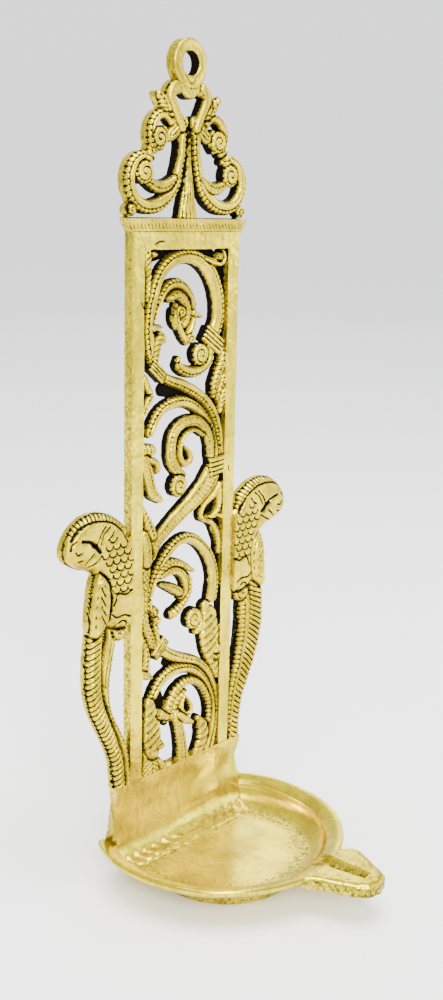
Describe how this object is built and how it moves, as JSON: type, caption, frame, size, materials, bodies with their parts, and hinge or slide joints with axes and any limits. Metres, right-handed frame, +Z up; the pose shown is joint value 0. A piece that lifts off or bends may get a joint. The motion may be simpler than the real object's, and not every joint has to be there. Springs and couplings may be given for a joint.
{
  "type": "brass wall oil lamp",
  "caption": "Standing or wall-hung brass oil lamp: pierced vine panel with parrots and a hanging eye over a shallow oil bowl with a wick spout.",
  "frame": {"origin": "under the middle of the lamp, on the plane the foot ring stands on", "axes": "+Z up; -Y is the front, where the spout points; +Y is the flat back that hangs against a wall"},
  "size_m": [0.1174, 0.0926, 0.3],
  "materials": {
    "brass_frame": "hand-filed, softly polished",
    "brass_relief": "cast relief, bright on top, dark in the grooves",
    "brass_bowl": "cast, brushed smooth, light staining"
  },
  "bodies": {
    "root": {"left_rail": "brass_frame", "right_rail": "brass_frame", "top_bar": "brass_frame", "apron_plate": "brass_frame", "stem_collars": "brass_relief", "vine_scroll_top": "brass_relief", "vine_scroll_upper": "brass_relief", "vine_scroll_lower": "brass_relief", "vine_scroll_bottom": "brass_relief", "edge_leaves_left": "brass_relief", "edge_leaves_right": "brass_relief", "crest_bar": "brass_relief", "crest_stem": "brass_relief", "crest_scroll_left": "brass_relief", "crest_scroll_right": "brass_relief", "hanging_eye": "brass_relief", "parrot_body_left": "brass_relief", "parrot_body_right": "brass_relief", "parrot_wing_left": "brass_relief", "parrot_wing_right": "brass_relief", "parrot_tail_left": "brass_relief", "parrot_tail_right": "brass_relief", "oil_bowl": "brass_bowl", "foot_ring": "brass_bowl", "wick_spout": "brass_bowl"}
  },
  "joints": []
}
